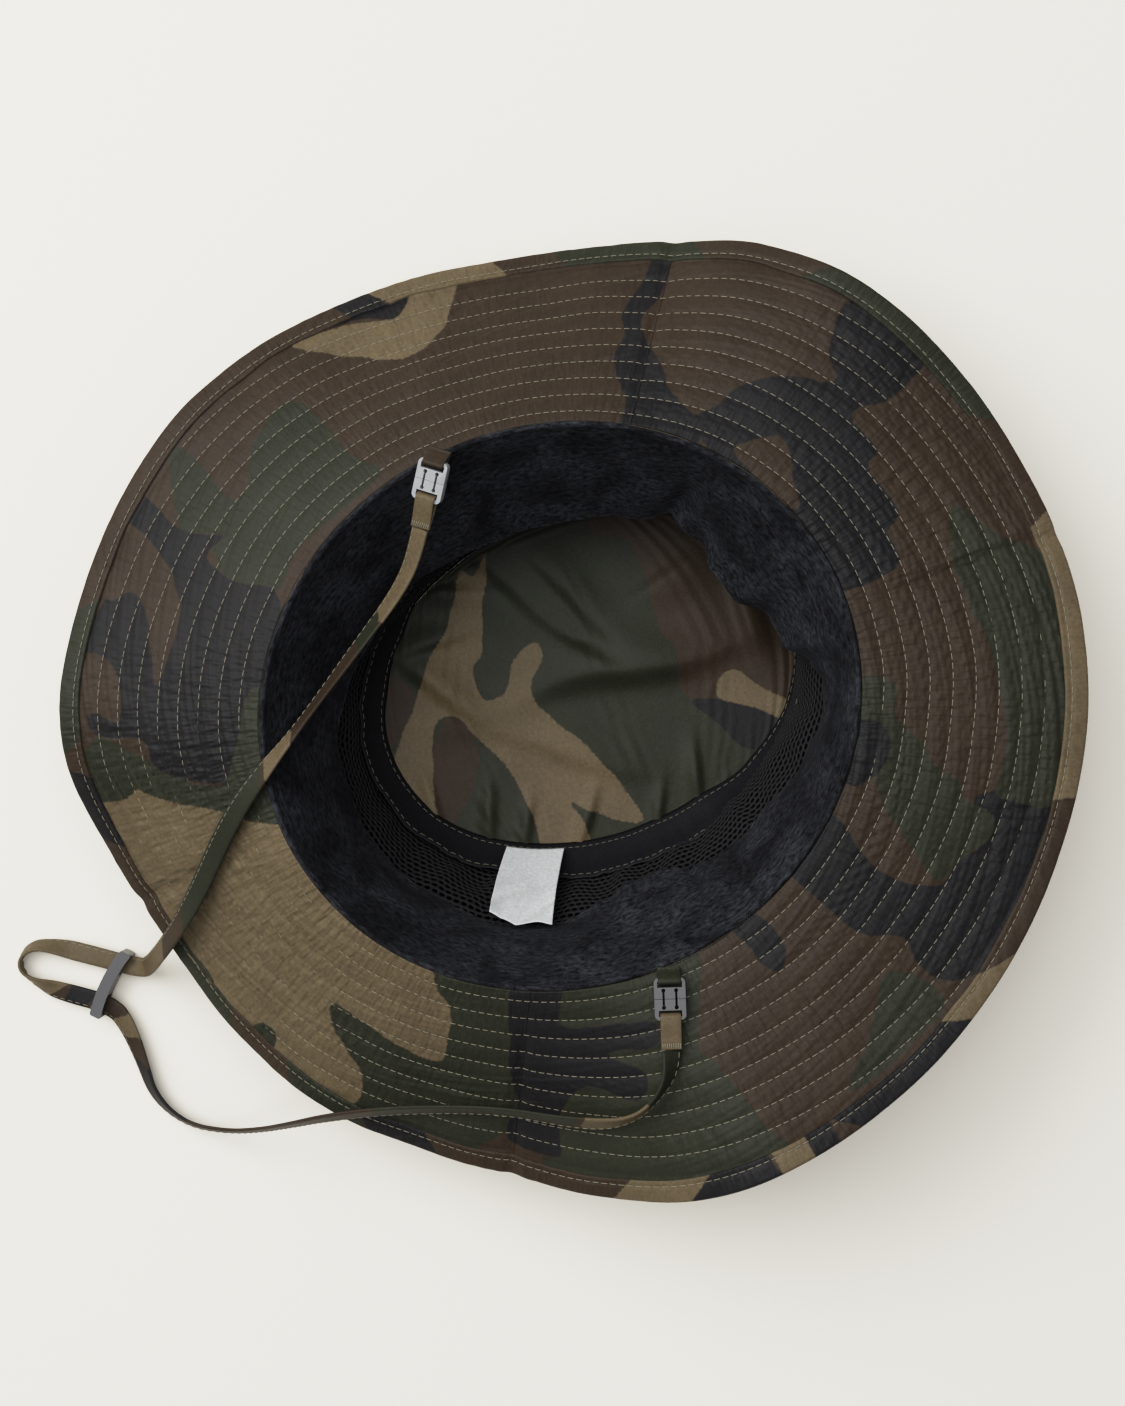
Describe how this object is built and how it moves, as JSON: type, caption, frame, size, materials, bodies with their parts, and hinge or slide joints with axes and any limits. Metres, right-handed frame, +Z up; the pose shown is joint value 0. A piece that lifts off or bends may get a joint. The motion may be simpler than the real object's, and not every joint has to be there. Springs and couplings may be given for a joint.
{
  "type": "bucket hat",
  "caption": "Soft wide-brimmed hat with quilted bound brim, fleece sweatband and mesh-lined crown, and a chin strap on two breakaway clips with a slider.",
  "frame": {"origin": "on the floor below the middle of the brim; the hat is stored upside down and rests on its crown tip at z = 0", "axes": "+Z up, out of the head opening; +Y towards the hat's front along its long axis; +X towards one ear tab"},
  "size_m": [0.3302, 0.3989, 0.0902],
  "materials": {
    "camo_cotton": "printed ripstop cotton, quilted in rows on the brim",
    "black_mesh": "knitted air mesh",
    "black_tape": "woven nylon tape",
    "navy_fleece": "brushed fleece pile",
    "interlining": "stiff woven interlining",
    "camo_tape": "folded and edge-stitched camouflage tape",
    "grey_acetal": "moulded acetal, satin",
    "dark_acetal": "moulded acetal, satin",
    "white_satin": "woven satin label, blank"
  },
  "bodies": {
    "hat": {"crown_tip": "camo_cotton", "tip_lining": "camo_cotton", "crown_side_front": "camo_cotton", "crown_side_back": "camo_cotton", "mesh_lining": "black_mesh", "tip_seam_tape": "black_tape", "sweatband": "navy_fleece", "brim_under_back": "camo_cotton", "brim_under_front": "camo_cotton", "brim_outer_left": "camo_cotton", "brim_outer_right": "camo_cotton", "brim_interlining": "interlining", "brim_binding": "camo_cotton", "strap_tab_left": "camo_tape", "strap_tab_right": "camo_tape", "chin_strap": "camo_tape", "clip_upper_left": "grey_acetal", "clip_upper_right": "grey_acetal", "care_label": "white_satin"},
    "slider": {"slider": "dark_acetal"},
    "left_clip_half": {"clip_lower_left": "grey_acetal", "strap_end_left": "camo_tape"},
    "right_clip_half": {"clip_lower_right": "grey_acetal", "strap_end_right": "camo_tape"}
  },
  "joints": [
    {"name": "slider_travel", "type": "slide", "parent": "hat", "child": "slider", "axis": [-0.632, -0.7749, 0], "range_m": [-0.001, 0.007]},
    {"name": "left_clip_release", "type": "slide", "parent": "hat", "child": "left_clip_half", "axis": [0.7494, -0.5855, -0.309], "range_m": [0, 0.005], "deforming": ["strap_end_left"]},
    {"name": "right_clip_release", "type": "slide", "parent": "hat", "child": "right_clip_half", "axis": [0.9237, -0.3732, 0.0872], "range_m": [0, 0.005], "deforming": ["strap_end_right"]}
  ]
}
